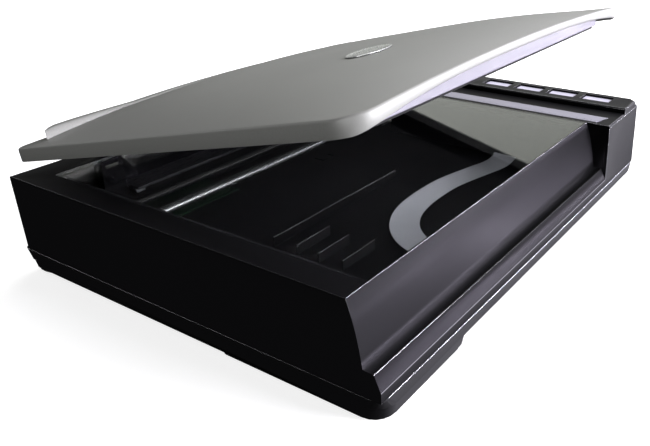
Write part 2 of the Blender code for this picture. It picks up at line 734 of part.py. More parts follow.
def guide_parts():
    rod = bar("x", (ROD_Y, ROD_Z), -0.3000, 0.3040, ROD_RADIUS, 20)
    smooth(add("guide_rod", rod, lambda name: material(name, (0.80, 0.80, 0.82), 0.12, 1.0)))
    for side, x0, x1 in (("left", -0.3040, -0.2960), ("right", 0.2975, 0.3055)):
        low, high = (x0, ROD_Y - 0.010, DECK_Z), (x1, ROD_Y + 0.010, ROD_Z + 0.011)
        holder = box(f"rod_holder_{side}", low, high, dark_plastic)
        cut(holder, bar("x", (ROD_Y, ROD_Z), x0 - 0.01, x1 + 0.01, ROD_RADIUS + GAP, 20), "bore")
    rail = [(-0.2100, 0.0188), (-0.1990, 0.0188), (-0.1990, 0.0215), (-0.2060, 0.0215), (-0.2060, 0.0300),
            (-0.1990, 0.0300), (-0.1990, 0.0320), (-0.2100, 0.0320)]
    add("support_rail", prism(rail, "x", -0.2900, 0.3020), steel)
    low, high = (-0.1840, 0.2080, 0.0575), (0.1300, BACK_Y - WALL - GAP, 0.0610)
    box("rear_stiffener", low, high, steel)


def stadium(radius, steps=12):
    """Outline of a belt loop round both pulleys, as (x, z)."""
    points = []
    for centre_x, first in ((DRIVE_X, -90), (IDLER_X, 90)):
        for i in range(steps + 1):
            angle = math.radians(first + 180 * i / steps)
            points.append((centre_x + radius * math.cos(angle), ROD_Z + radius * math.sin(angle)))
    return points


def belt_drive():
    inner = PULLEY_RADIUS + GAP + 0.0001
    y0, y1 = BELT_Y - BELT_WIDTH / 2, BELT_Y + BELT_WIDTH / 2
    belt = add("drive_belt", prism(stadium(inner + BELT_THICKNESS), "y", y0, y1), rubber)
    cut(belt, prism(stadium(inner), "y", y0 - 0.01, y1 + 0.01), "loop")
    pulley("drive_pulley", DRIVE_X, 0.0160)
    pulley("idler_pulley", IDLER_X, 0.0)
    half_x, half_y, fork = 0.006, 0.010, 0.0065
    low = (IDLER_X - half_x, BELT_Y - half_y, DECK_Z)
    high = (IDLER_X + half_x, BELT_Y + half_y, ROD_Z + 0.004)
    bracket = box("idler_bracket", low, high, steel)
    slot = box_mesh((IDLER_X - 0.02, BELT_Y - fork, 0.040), (IDLER_X + 0.02, BELT_Y + fork, 0.09))
    cut(bracket, slot, "fork")
    bore = bar("y", (IDLER_X, ROD_Z), BELT_Y - 0.02, BELT_Y + 0.02, AXLE_RADIUS + 2 * GAP, 12)
    cut(bracket, bore, "axle_bore")
    low = (DRIVE_X - MOTOR_HALF, MOTOR_Y0, ROD_Z - MOTOR_HALF)
    high = (DRIVE_X + MOTOR_HALF, MOTOR_Y1, ROD_Z + MOTOR_HALF)
    motor = box("stepper_motor", low, high, steel)
    plate_y0, plate_y1 = MOTOR_Y0 - 0.0060, MOTOR_Y0 - 0.0030
    boss = bar("y", (DRIVE_X, ROD_Z), plate_y1 + 0.0005, MOTOR_Y0 + 0.0010, 0.0080, 20)
    join(motor, boss, "boss")
    bore = bar("y", (DRIVE_X, ROD_Z), plate_y0, MOTOR_Y0 + 0.0090, AXLE_RADIUS + 0.0004, 12)
    cut(motor, bore, "shaft_bore")
    low, high = (DRIVE_X - 0.0185, plate_y0, DECK_Z), (DRIVE_X + 0.0165, plate_y1, ROD_Z + 0.0190)
    mount = box("motor_bracket", low, high, steel)
    cut(mount, bar("y", (DRIVE_X, ROD_Z), plate_y0 - 0.01, plate_y1 + 0.01, 0.0050, 20), "shaft_hole")


def pulley(name, x, shaft_length):
    """Flanged pulley on its axle."""
    flange = PULLEY_RADIUS + 0.0022
    y0, y1 = BELT_Y - BELT_WIDTH / 2, BELT_Y + BELT_WIDTH / 2
    made = add(name, bar("y", (x, ROD_Z), y0 - 0.0012, y1 + 0.0012, PULLEY_RADIUS, 24), white_plastic,
               origin=(x, BELT_Y, ROD_Z))
    flanges = {"front_flange": (y0 - 0.0022, y0 - 0.0005), "back_flange": (y1 + 0.0005, y1 + 0.0022)}
    for label, (start, end) in flanges.items():
        join(made, bar("y", (x, ROD_Z), start, end, flange, 24), label)
    end = y1 + 0.0022 + shaft_length if shaft_length else BELT_Y + 0.0095
    join(made, bar("y", (x, ROD_Z), BELT_Y - 0.0095, end, AXLE_RADIUS, 12), "axle")


# ---- Electronics ----


def electronics():
    board = box("main_board", BOARD_LOW, BOARD_HIGH, circuit_board)
    for i, (x0, x1, y0, y1, height) in enumerate(BOARD_PARTS):
        low, high = (x0, y0, BOARD_HIGH[2] - 0.0006), (x1, y1, BOARD_HIGH[2] + height)
        join(board, box_mesh(low, high), f"chip_{i + 1}")
    metal = {"usb_socket": steel, "power_inlet": black_plastic}
    for name, finish in metal.items():
        x0, x1, z0, z1 = REAR_PORTS[name]
        socket = box(name, (x0, BACK_Y - 0.0160, z0), (x1, BACK_Y - 0.0003, z1), finish)
        bore = ((x0 + x1) / 2, (z0 + z1) / 2)
        if name == "power_inlet":
            cut(socket, bar("y", bore, BACK_Y - 0.012, BACK_Y + 0.01, 0.0040, 16), "bore")
            join(socket, bar("y", bore, BACK_Y - 0.013, BACK_Y - 0.003, 0.0010, 10), "centre_pin")
        else:
            low = (x0 + 0.0015, BACK_Y - 0.012, z0 + 0.0015)
            cut(socket, box_mesh(low, (x1 - 0.0015, BACK_Y + 0.01, z1 - 0.0015)), "mouth")
            tongue = (bore[0] - 0.003, BACK_Y - 0.013, bore[1] - 0.002)
            join(socket, box_mesh(tongue, (bore[0] + 0.003, BACK_Y - 0.002, bore[1] + 0.002)), "tongue")
    x0, x1, z0, z1 = REAR_PORTS["power_switch"]
    rocker = [
        (BACK_Y - 0.0003, z0 + 0.001),
        (BACK_Y - 0.0017, (z0 + z1) / 2),
        (BACK_Y - 0.0027, z1 - 0.001),
        (BACK_Y - 0.0090, z1 - 0.003),
        (BACK_Y - 0.0090, z0 + 0.003),
    ]
    centre = ((x0 + x1) / 2, BACK_Y - 0.0045, (z0 + z1) / 2)
    add("power_switch", prism(rocker, "x", x0 + 0.001, x1 - 0.001), black_plastic, origin=centre)
    sensor = box("home_sensor", (0.2760, 0.2160, 0.0215), (0.2960, 0.2260, 0.0400), dark_plastic)
    cut(sensor, box_mesh((0.2830, 0.2100, 0.0300), (0.2890, 0.2300, 0.0500)), "slot")


def transport_lock():
    """Slider under the floor that holds the carriage for carriage by road."""
    knob = box("transport_lock", (0.0920, 0.1515, 0.0125), (0.1040, 0.1605, 0.0205), dark_plastic,
               origin=(0.098, 0.156, 0.0165))
    join(knob, box_mesh((0.0880, 0.1470, 0.0188), (0.1080, 0.1650, 0.0208)), "flange")


# ---- Scan carriage ----


def carriage(frame):
    """Lamp, mirrors, lens and sensor in a trough that slides on the rod and on a front rail."""
    x0, y0, z0 = CARRIAGE_LOW
    x1, y1, z1 = CARRIAGE_HIGH
    slit_x, middle_y = (x0 + x1) / 2, (y0 + y1) / 2
    parts = [carriage_housing(), carriage_cover(slit_x)]
    for label, offset in (("front", -0.0135), ("rear", 0.0135)):
        ends = y0 + CARRIAGE_WALL + GAP, y1 - CARRIAGE_WALL - GAP
        tube = bar("y", (slit_x + offset, z1 - 0.0045), *ends, 0.0022, 12)
        parts.append(smooth(add(f"lamp_{label}", tube, lamp_glass)))
    parts.append(mirror("mirror_upper", (slit_x, z0 + 0.012), 45.0))
    parts.append(mirror("mirror_lower", (x0 + 0.014, z0 + 0.016), -52.0))
    lens = bar("x", (middle_y, z0 + 0.018), x1 - 0.034, x1 - 0.010, 0.0080, 20)
    parts.append(smooth(add("lens_barrel", lens, black_plastic)))
    low, high = (x1 - 0.0085, middle_y - 0.045, z0 + 0.004), (x1 - 0.0068, middle_y + 0.045, z0 + 0.040)
    parts.append(box("sensor_board", low, high, circuit_board))
    parts += [rod_bushing(), belt_clamp(slit_x)]
    low, high = (x0 + 0.020, -0.2095, 0.0323), (x1 - 0.020, y0 - GAP, 0.0420)
    parts.append(box("carriage_glide", low, high, white_plastic))
    for part in parts:
        attach(part, frame)


def carriage_housing():
    low = [side + CARRIAGE_WALL for side in CARRIAGE_LOW]
    high = [side - CARRIAGE_WALL for side in CARRIAGE_HIGH[:2]] + [CARRIAGE_HIGH[2] + 0.01]
    housing = box("carriage_housing", CARRIAGE_LOW, CARRIAGE_HIGH, dark_plastic)
    cut(housing, box_mesh(low, high), "hollow")
    return housing


def carriage_cover(slit_x):
    (x0, y0, _), (x1, y1, z1) = CARRIAGE_LOW, CARRIAGE_HIGH
    cover = box("carriage_cover", (x0, y0, z1 + GAP), (x1, y1, z1 + 0.0020), dark_plastic)
    slit = box_mesh((slit_x - 0.007, y0 + 0.006, z1 - 0.01), (slit_x + 0.007, y1 - 0.006, z1 + 0.01))
    cut(cover, slit, "slit")
    return cover


def mirror(name, centre, tilt_deg):
    """Strip of mirror across the carriage, tilted about its length."""
    angle = math.radians(tilt_deg)
    along = Vector((math.cos(angle), math.sin(angle))) * 0.0080
    across = Vector((-math.sin(angle), math.cos(angle))) * 0.0012
    signs = ((-1, -1), (1, -1), (1, 1), (-1, 1))
    outline = [tuple(Vector(centre) + along * a + across * b) for a, b in signs]
    ends = CARRIAGE_LOW[1] + 0.010, CARRIAGE_HIGH[1] - 0.010
    return add(name, prism(outline, "y", *ends), mirror_glass)


def rod_bushing():
    low = (CARRIAGE_LOW[0] + 0.010, CARRIAGE_HIGH[1] + GAP, ROD_Z - 0.012)
    high = (CARRIAGE_HIGH[0] - 0.010, ROD_Y + 0.013, ROD_Z + 0.012)
    bushing = box("rod_bushing", low, high, white_plastic)
    cut(bushing, bar("x", (ROD_Y, ROD_Z), low[0] - 0.01, high[0] + 0.01, ROD_RADIUS + GAP, 20), "bore")
    return bushing


def belt_clamp(x):
    """Clip that holds the carriage to the belt's upper run."""
    run = ROD_Z + PULLEY_RADIUS
    low = (x - 0.010, ROD_Y + 0.013 + GAP, run - 0.0030)
    high = (x + 0.010, BELT_Y + 0.0045, run + 0.0045)
    clamp = box("belt_clamp", low, high, dark_plastic)
    slot_low = (x - 0.02, BELT_Y - BELT_WIDTH / 2 - GAP, run)
    slot_high = (x + 0.02, BELT_Y + 0.02, run + BELT_THICKNESS + 0.0007)
    cut(clamp, box_mesh(slot_low, slot_high), "belt_slot")
    return clamp


def ribbon_cable():
    """Flat cable from the fixed header on the floor, round one bend, up to the carriage."""
    width, thickness = 0.036, 0.0009
    points = [Vector(point) for point in RIBBON_ROUTE]
    rings = []
    for i, point in enumerate(points):
        along = (points[min(i + 1, len(points) - 1)] - points[max(i - 1, 0)]).normalized()
        side = along.cross(Vector((0.0, 0.0, 1.0)))
        if side.length < 0.3:
            side = Vector((0.0, -1.0, 0.0))
        side.normalize()
        up = side.cross(along).normalized()
        side, up = side * width / 2, up * thickness / 2
        rings.append([point - side - up, point + side - up, point + side + up, point - side + up])
    add("ribbon_cable", lofted(rings), lambda name: material(name, (0.30, 0.31, 0.34), 0.55))
    header = (-0.093, -0.186, 0.0188), (-0.051, -0.1755, 0.0290)
    box("cable_header", *header, white_plastic)


def main():
    clear_scene()
    lower_housing()
    feet()
    upper_housing()
    platen_parts()
    buttons()
    lift_frame = empty("hinge_lift_frame", (0.0, PIVOT_Y, PIVOT_Z))
    lid_frame = empty("lid_frame", (0.0, PIVOT_Y, PIVOT_Z), -math.radians(LID_OPEN_DEG))
    hinge_hardware(lift_frame, lid_frame)
    lid_shell(lid_frame)
    hinge_cover(lid_frame)
    lid_liner(lid_frame)
    lid_trim(lid_frame)
    guide_parts()
    belt_drive()
    electronics()
    transport_lock()
    carriage(empty("carriage_frame", (0.0, ROD_Y, ROD_Z)))
    ribbon_cable()
    bpy.context.view_layer.update()


main()
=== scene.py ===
"""Looks of the large-format flatbed scanner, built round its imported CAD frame.

Everything is in metres in the frame's own axes: +X along the book edge towards the button panel, +Y
towards the lid's hinges, +Z up. Pieces that stand for CAD nodes start from those nodes' meshes or boxes.
"""

import json
import math

import bmesh
import bpy
from mathutils import Matrix, Vector


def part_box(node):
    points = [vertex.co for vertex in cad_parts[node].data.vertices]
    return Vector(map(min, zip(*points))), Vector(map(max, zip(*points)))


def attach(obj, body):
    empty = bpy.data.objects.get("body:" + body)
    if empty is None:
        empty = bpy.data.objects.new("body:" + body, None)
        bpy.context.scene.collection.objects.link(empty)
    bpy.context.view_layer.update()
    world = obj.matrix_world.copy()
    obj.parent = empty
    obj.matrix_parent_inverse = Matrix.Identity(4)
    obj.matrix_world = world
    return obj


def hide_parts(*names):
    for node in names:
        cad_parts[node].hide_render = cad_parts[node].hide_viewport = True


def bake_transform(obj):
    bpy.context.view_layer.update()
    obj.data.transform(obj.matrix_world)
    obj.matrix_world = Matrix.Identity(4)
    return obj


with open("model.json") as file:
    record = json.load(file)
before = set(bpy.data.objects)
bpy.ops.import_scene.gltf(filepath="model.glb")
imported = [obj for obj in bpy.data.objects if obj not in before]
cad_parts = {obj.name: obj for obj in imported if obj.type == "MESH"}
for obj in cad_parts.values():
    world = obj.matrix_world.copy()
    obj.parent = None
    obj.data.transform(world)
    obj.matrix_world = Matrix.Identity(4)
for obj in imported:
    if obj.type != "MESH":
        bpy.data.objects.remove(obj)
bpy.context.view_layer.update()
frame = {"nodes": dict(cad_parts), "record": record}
nodes = frame["nodes"]

GAP = 0.0003

# ---- Camera, lights and floor ----

CAMERA_PLACE = (-0.6835, -0.5231, 0.4126)
CAMERA_TURN_DEG, CAMERA_DOWN_DEG, CAMERA_ROLL_DEG = -57.5, 20.3, -0.1
CAMERA_LENS_MM, CAMERA_SENSOR_MM = 40.36, 36.0
CAMERA_SHIFT = (-0.1538, -0.1123)
CLIP_NEAR, CLIP_FAR = 0.02, 60.0

ROOM_DIM = 0.012
# Towards, (edge and core of the spread, as cosines), (heights between which it sets in), brightness, tint.
PALE_AREAS = (
    ((0.88, 0.44, 0.17), (0.78, 0.93), (-0.01, 0.05), 0.66, (0.98, 1.0, 0.93)),
    ((0.79, -0.43, -0.43), (0.55, 0.85), (0.02, -0.10), 1.4, (0.96, 0.94, 1.04)),
    ((0.93, -0.30, 0.22), (0.86, 0.97), (-0.01, 0.05), 2.2, (0.95, 0.93, 1.06)),
)

FLOOR_HALF, FLOOR_DROP = 14.0, 0.0002
# The floor glows a little less round the object, so that its shadow shows, and is white from afar.
GLOW_NEAR, GLOW_FAR = (1.6, 0.72), (4.0, 1.0)


def make_camera():
    """Camera set by its place, its turn round the object, its downward tilt and its roll."""
    turn, down, roll = (math.radians(a) for a in (CAMERA_TURN_DEG, CAMERA_DOWN_DEG, CAMERA_ROLL_DEG))
    back = Vector((math.sin(turn) * math.cos(down), -math.cos(turn) * math.cos(down), math.sin(down)))
    level = Vector((math.cos(turn), math.sin(turn), 0.0))
    upright = back.cross(level)
    right = level * math.cos(roll) + upright * math.sin(roll)
    up = upright * math.cos(roll) - level * math.sin(roll)
    data = bpy.data.cameras.new("camera")
    data.lens, data.sensor_width = CAMERA_LENS_MM, CAMERA_SENSOR_MM
    data.shift_x, data.shift_y = CAMERA_SHIFT
    data.clip_start, data.clip_end = CLIP_NEAR, CLIP_FAR
    camera = bpy.data.objects.new("camera", data)
    bpy.context.scene.collection.objects.link(camera)
    camera.matrix_world = Matrix.Translation(CAMERA_PLACE) @ Matrix((right, up, back)).transposed().to_4x4()
    bpy.context.scene.camera = camera


def area_light(name, place, aim, size, watts, colour=(1.0, 1.0, 1.0)):
    """Rectangular lamp at a place, turned towards the aim."""
    data = bpy.data.lights.new(name, "AREA")
    data.shape = "RECTANGLE"
    data.size, data.size_y = size
    data.energy = watts
    data.color = colour
    light = bpy.data.objects.new(name, data)
    light.location = place
    light.rotation_euler = (Vector(aim) - Vector(place)).to_track_quat("-Z", "Y").to_euler()
    bpy.context.scene.collection.objects.link(light)


def make_world():
    """White for the camera. The object reflects a dim room with a few pale walls and a pale table."""
    world = bpy.data.worlds.new("studio")
    bpy.context.scene.world = world
    world.use_nodes = True
    links, shaders = world.node_tree.links, world.node_tree.nodes
    shaders.clear()
    direction = shaders.new("ShaderNodeTexCoord").outputs["Generated"]
    height = shaders.new("ShaderNodeSeparateXYZ")
    links.new(direction, height.inputs[0])
    total = None
    for towards, (edge, core), (low, high), brightness, tint in PALE_AREAS:
        facing = shaders.new("ShaderNodeVectorMath")
        facing.operation = "DOT_PRODUCT"
        facing.inputs[1].default_value = Vector(towards).normalized()
        links.new(direction, facing.inputs[0])
        spread, level = shaders.new("ShaderNodeMapRange"), shaders.new("ShaderNodeMapRange")
        spread.interpolation_type = "SMOOTHSTEP"
        spread.inputs["From Min"].default_value, spread.inputs["From Max"].default_value = edge, core
        spread.inputs["To Max"].default_value = brightness
        links.new(facing.outputs["Value"], spread.inputs["Value"])
        level.inputs["From Min"].default_value, level.inputs["From Max"].default_value = low, high
        links.new(height.outputs["Z"], level.inputs["Value"])
        amount, area = shaders.new("ShaderNodeMath"), shaders.new("ShaderNodeVectorMath")
        amount.operation, area.operation = "MULTIPLY", "MULTIPLY_ADD"
        links.new(spread.outputs["Result"], amount.inputs[0])
        links.new(level.outputs["Result"], amount.inputs[1])
        links.new(amount.outputs[0], area.inputs[0])
        area.inputs[1].default_value = tint
        if total:
            links.new(total, area.inputs[2])
        else:
            area.inputs[2].default_value = (ROOM_DIM, ROOM_DIM, ROOM_DIM)
        total = area.outputs["Vector"]
    room, white = shaders.new("ShaderNodeBackground"), shaders.new("ShaderNodeBackground")
    links.new(total, room.inputs["Color"])
    mix, out = shaders.new("ShaderNodeMixShader"), shaders.new("ShaderNodeOutputWorld")
    links.new(shaders.new("ShaderNodeLightPath").outputs["Is Camera Ray"], mix.inputs["Fac"])
    links.new(room.outputs[0], mix.inputs[1])
    links.new(white.outputs[0], mix.inputs[2])
    links.new(mix.outputs[0], out.inputs["Surface"])


def make_floor():
    """White paper that catches the shadow and that the object doesn't reflect."""
    data = bpy.data.meshes.new("floor")
    half = FLOOR_HALF
    corners = [(-half, -half, 0), (half, -half, 0), (half, half, 0), (-half, half, 0)]
    data.from_pydata(corners, [], [(0, 1, 2, 3)])
    floor = bpy.data.objects.new("floor", data)
    floor.location.z = -FLOOR_DROP
    bpy.context.scene.collection.objects.link(floor)
    paper = bpy.data.materials.new("floor")
    paper.use_nodes = True
    shader = paper.node_tree.nodes["Principled BSDF"]
    shader.inputs["Base Color"].default_value = (0.92, 0.92, 0.92, 1.0)
    shader.inputs["Roughness"].default_value = 0.9
    shader.inputs["Specular IOR Level"].default_value = 0.0
    shader.inputs["Emission Color"].default_value = (1.0, 1.0, 1.0, 1.0)
    links, shaders = paper.node_tree.links, paper.node_tree.nodes
    distance, far = shaders.new("ShaderNodeVectorMath"), shaders.new("ShaderNodeMapRange")
    distance.operation = "LENGTH"
    links.new(shaders.new("ShaderNodeTexCoord").outputs["Object"], distance.inputs[0])
    links.new(distance.outputs["Value"], far.inputs["Value"])
    for end, (from_middle, glow) in (("Min", GLOW_NEAR), ("Max", GLOW_FAR)):
        far.inputs[f"From {end}"].default_value, far.inputs[f"To {end}"].default_value = from_middle, glow
    links.new(far.outputs["Result"], shader.inputs["Emission Strength"])
    data.materials.append(paper)
    floor.visible_glossy = False
    floor.visible_diffuse = False
    floor.visible_transmission = False


def make_lights():
    lavender = (0.96, 0.94, 1.0)
    # Soft key from the front, and a higher one for the upper edges and the back cover.
    area_light("key", (1.0, -2.8, 0.50), (0.0, -0.2, 0.10), (1.6, 0.6), 96.0, lavender)
    area_light("key_high", (0.3, -2.5, 1.25), (0.0, -0.1, 0.12), (0.9, 0.5), 45.0, lavender)
    # Narrow strips that draw the bright lines: the low one along the rod and the book edge, the high one
    # along the floor ribs.
    area_light("glint", (1.75, -2.1, 0.42), (0.0, -0.05, 0.06), (2.9, 0.06), 40.0, lavender)
    area_light("glint_high", (1.75, -2.1, 1.7), (0.0, -0.05, 0.04), (2.9, 0.07), 64.0, lavender)
    # Small lamp over the buttons, and a broad one over the lid.
    area_light("panel", (0.75, -0.45, 0.75), (0.27, -0.11, 0.11), (0.3, 0.3), 2.6, lavender)
    area_light("top", (1.0, 0.5, 2.1), (0.1, 0.0, 0.1), (1.4, 1.4), 16.0)
    # Fills for the left side and the back.
    area_light("fill_left", (-2.6, -1.0, 0.9), (-0.2, 0.0, 0.1), (1.2, 1.0), 26.0)
    area_light("fill_back", (-0.6, 3.2, 1.8), (0.0, 0.1, 0.1), (2.0, 1.4), 12.0)


# ---- Materials ----


class Finish:
    """A material with its Principled shader and the few nodes that most finishes here share."""

    def __init__(self, name, colour, roughness, metallic=0.0):
        self.material = bpy.data.materials.new(name)
        self.material.use_nodes = True
        self.nodes = self.material.node_tree.nodes
        self.links = self.material.node_tree.links
        self.shader = self.nodes["Principled BSDF"]
        self.colour = (*colour, 1.0)
        self.set("Base Color", self.colour)
        self.set("Roughness", roughness)
        self.set("Metallic", metallic)
        self.where = self.nodes.new("ShaderNodeTexCoord").outputs["Object"]
        self.bump_out = None

    def set(self, socket, value):
        self.shader.inputs[socket].default_value = value
        return self

    def noise(self, scale, detail=2.0, stretch=None):
        where = self.where
        if stretch:
            mapping = self.nodes.new("ShaderNodeMapping")
            mapping.inputs["Scale"].default_value = stretch
            self.links.new(where, mapping.inputs["Vector"])
            where = mapping.outputs["Vector"]
        texture = self.nodes.new("ShaderNodeTexNoise")
        texture.inputs["Scale"].default_value = scale
        texture.inputs["Detail"].default_value = detail
        self.links.new(where, texture.inputs["Vector"])
        return texture.outputs["Fac"]

    def ramp(self, source, low, high, start=0.3, end=0.7):
        spread = self.nodes.new("ShaderNodeMapRange")
        spread.inputs["From Min"].default_value = start
        spread.inputs["From Max"].default_value = end
        spread.inputs["To Min"].default_value = low
        spread.inputs["To Max"].default_value = high
        self.links.new(source, spread.inputs["Value"])
        return spread.outputs["Result"]

    def bump(self, source, distance, strength=1.0):
        bump = self.nodes.new("ShaderNodeBump")
        bump.inputs["Distance"].default_value = distance
        bump.inputs["Strength"].default_value = strength
        self.links.new(source, bump.inputs["Height"])
        if self.bump_out:
            self.links.new(self.bump_out, bump.inputs["Normal"])
        self.bump_out = bump.outputs["Normal"]
        self.links.new(self.bump_out, self.shader.inputs["Normal"])
        return self

    def vary_roughness(self, source, low, high):
        self.links.new(self.ramp(source, low, high), self.shader.inputs["Roughness"])
        return self

    def vary_colour(self, source, amount):
        """Lightens and darkens the base colour by this share."""
        mix = self.nodes.new("ShaderNodeMix")
        mix.data_type = "RGBA"
        mix.inputs["A"].default_value = [c * (1 - amount) for c in self.colour[:3]] + [1.0]
        mix.inputs["B"].default_value = [min(1.0, c * (1 + amount)) for c in self.colour[:3]] + [1.0]
        self.links.new(self.ramp(source, 0.0, 1.0), mix.inputs["Factor"])
        self.links.new(mix.outputs["Result"], self.shader.inputs["Base Color"])
        return self


def spark_black(name, colour=(0.0084, 0.0083, 0.0092), roughness=(0.38, 0.46), gloss=0.09):
    """Moulded black plastic with a fine spark-eroded texture."""
    made = Finish(name, colour, roughness[0])
    made.set("Specular IOR Level", gloss)
    made.set("Specular Tint", (0.86, 0.80, 1.0, 1.0))
    fine, broad = made.noise(1900.0, 2.0), made.noise(9.0, 3.0)
    made.vary_roughness(broad, *roughness)
    made.bump(fine, 0.00006, 0.35)
    return made.material


def highlight_edge_finish(name, shade=0.26):
    """Light metallic finish on the black plastic's rounded edges: a painted highlight that draws bright lines
    along them.
    """
    made = Finish(name, (shade, shade, shade * 1.06), 0.24, 0.85)
    made.vary_roughness(made.noise(30.0, 2.0), 0.20, 0.27)
    return made.material


def lid_paint(name):
    """Silver-grey satin paint with a fine flake."""
    made = Finish(name, (0.285, 0.288, 0.276), 0.46, 0.14)
    flake, broad = made.noise(2600.0, 1.0), made.noise(6.0, 3.0)
    made.vary_colour(flake, 0.10)
    made.vary_roughness(broad, 0.42, 0.50)
    made.bump(flake, 0.00003, 0.25)
    return made.material


def badge_metal(name):
    """Bright rolled metal with a soft sheen."""
    made = Finish(name, (0.62, 0.63, 0.63), 0.26, 0.8)
    rolled = made.noise(300.0, 2.0, (1.0, 8.0, 1.0))
    made.vary_colour(rolled, 0.05)
    made.vary_roughness(rolled, 0.20, 0.34)
    return made.material


def lavender_white(name, colour=(0.76, 0.75, 0.83)):
    made = Finish(name, colour, 0.38)
    fine, broad = made.noise(1500.0, 1.0), made.noise(8.0, 2.0)
    made.vary_colour(broad, 0.02)
    made.vary_roughness(broad, 0.34, 0.44)
    made.bump(fine, 0.00003, 0.2)
    return made.material


def foam_sheet(name):
    made = Finish(name, (0.016, 0.016, 0.017), 0.85)
    made.set("Specular IOR Level", 0.2)
    made.vary_colour(made.noise(12.0, 3.0), 0.025)
    made.bump(made.noise(900.0, 3.0), 0.00015, 0.5)
    return made.material


def clear_glass(name):
    made = Finish(name, (0.93, 0.96, 0.95), 0.0)
    made.set("Transmission Weight", 1.0).set("IOR", 1.5)
    made.vary_roughness(made.noise(3.0, 2.0), 0.0, 0.012)
    return made.material


def plated_steel(name, colour=(0.56, 0.56, 0.58)):
    made = Finish(name, colour, 0.30, 1.0)
    grain = made.noise(60.0, 4.0, (1.0, 22.0, 22.0))
    made.vary_roughness(grain, 0.22, 0.42)
    made.bump(grain, 0.00002, 0.3)
    return made.material


def chrome(name):
    made = Finish(name, (0.86, 0.86, 0.88), 0.22, 1.0)
    made.vary_roughness(made.noise(90.0, 3.0, (1.0, 12.0, 12.0)), 0.19, 0.26)
    return made.material


def black_rubber(name):
    made = Finish(name, (0.020, 0.020, 0.020), 0.80)
    made.vary_colour(made.noise(40.0, 3.0), 0.25)
    made.bump(made.noise(1400.0, 2.0), 0.00008, 0.5)
    return made.material


def circuit_green(name):
    """Solder mask over copper tracks, in colours far darker than real solder mask: painted shade for the
    board inside the case.
    """
    made = Finish(name, (0.0015, 0.006, 0.003), 0.45)
    made.set("Specular IOR Level", 0.12)
    tracks = made.nodes.new("ShaderNodeTexBrick")
    tracks.inputs["Scale"].default_value = 160.0
    tracks.inputs["Mortar Size"].default_value = 0.08
    tracks.inputs["Color1"].default_value = (0.0015, 0.0065, 0.003, 1.0)
    tracks.inputs["Color2"].default_value = (0.001, 0.0045, 0.002, 1.0)
    tracks.inputs["Mortar"].default_value = (0.0025, 0.011, 0.005, 1.0)
    made.links.new(made.where, tracks.inputs["Vector"])
    made.links.new(tracks.outputs["Color"], made.shader.inputs["Base Color"])
    made.bump(tracks.outputs["Fac"], 0.00004, 0.3)
    return made.material


def nylon(name, colour=(0.72, 0.71, 0.67)):
    made = Finish(name, colour, 0.45)
    made.set("Subsurface Weight", 0.1)
    made.vary_colour(made.noise(30.0, 2.0), 0.04)
    made.bump(made.noise(1200.0, 1.0), 0.00003, 0.3)
    return made.material


def tube_glass(name):
    made = Finish(name, (0.90, 0.90, 0.88), 0.22)
    made.set("Coat Weight", 0.6)
    made.vary_colour(made.noise(25.0, 2.0), 0.03)
    return made.material


def silvered(name):
    made = Finish(name, (0.82, 0.84, 0.86), 0.03, 1.0)
    made.vary_roughness(made.noise(20.0, 2.0), 0.02, 0.06)
    return made.material


def green_lens(name):
    made = Finish(name, (0.10, 0.55, 0.18), 0.18)
    made.set("Coat Weight", 0.4)
    made.vary_colour(made.noise(400.0, 1.0), 0.06)
    return made.material


def strip_film(name):
    """Satin film of the size guide."""
    made = Finish(name, (0.30, 0.29, 0.36), 0.06)
    made.vary_colour(made.noise(14.0, 2.0), 0.05)
    made.vary_roughness(made.noise(30.0, 2.0), 0.04, 0.09)
    return made.material


def ribbon_jacket(name):
    made = Finish(name, (0.36, 0.36, 0.39), 0.45)
    made.vary_colour(made.noise(18.0, 2.0), 0.06)
    made.bump(made.noise(900.0, 1.0), 0.00004, 0.3)
    return made.material


FINISHES = {
    "housing_black": spark_black("housing_black"),
    # Five times darker than the case plastic: painted shade for the hollow insides of the case and the lid
    # and for the parts inside the case.
    "inner_black": spark_black("inner_black", (0.0016, 0.0016, 0.0018), (0.42, 0.50), 0.10),
    "lid_grey": lid_paint("lid_grey"),
    "badge_grey": badge_metal("badge_grey"),
    "lid_white": lavender_white("lid_white"),
    # The lid's lavender-white plastic, about five times darker, for the liner: painted shade.
    "liner_shaded_white": lavender_white("liner_shaded_white", (0.155, 0.146, 0.190)),
    "button_satin": lavender_white("button_satin", (0.66, 0.64, 0.77)),
    # Painted highlights: light metallic finishes for the case's rounded edges and the ribs' tops.
    "edge_highlight": highlight_edge_finish("edge_highlight"),
    "rib_top_highlight": highlight_edge_finish("rib_top_highlight", 0.85),
    "post_black": spark_black("post_black", (0.0012, 0.0012, 0.0013), (0.55, 0.65), 0.04),
    "pad_black": foam_sheet("pad_black"),
    "platen_glass": clear_glass("platen_glass"),
    "plated_steel": plated_steel("plated_steel"),
    # Plated steel five times darker: painted shade for the rear stiffener inside the case.
    "steel_painted_shade": plated_steel("steel_painted_shade", (0.11, 0.11, 0.12)),
    "rod_chrome": chrome("rod_chrome"),
    "rubber_black": black_rubber("rubber_black"),
    "circuit_green": circuit_green("circuit_green"),
    "nylon_white": nylon("nylon_white"),
    "calibration_white": nylon("calibration_white", (0.86, 0.86, 0.84)),
    "guide_strip_grey": strip_film("guide_strip_grey"),
    "cable_grey": ribbon_jacket("cable_grey"),
    "lamp_glass": tube_glass("lamp_glass"),
    "mirror_silver": silvered("mirror_silver"),
    "indicator_green": green_lens("indicator_green"),
}
SLOT_OF = {row["node"]: row["material_slot"] for row in frame["record"]["subparts"]}
BODY_OF = {node: body for body, members in frame["record"]["behaviour"]["bodies"].items() for node in members}


# ---- Building helpers ----

SAME_POINT, FLAT_DEG = 2e-6, 0.6


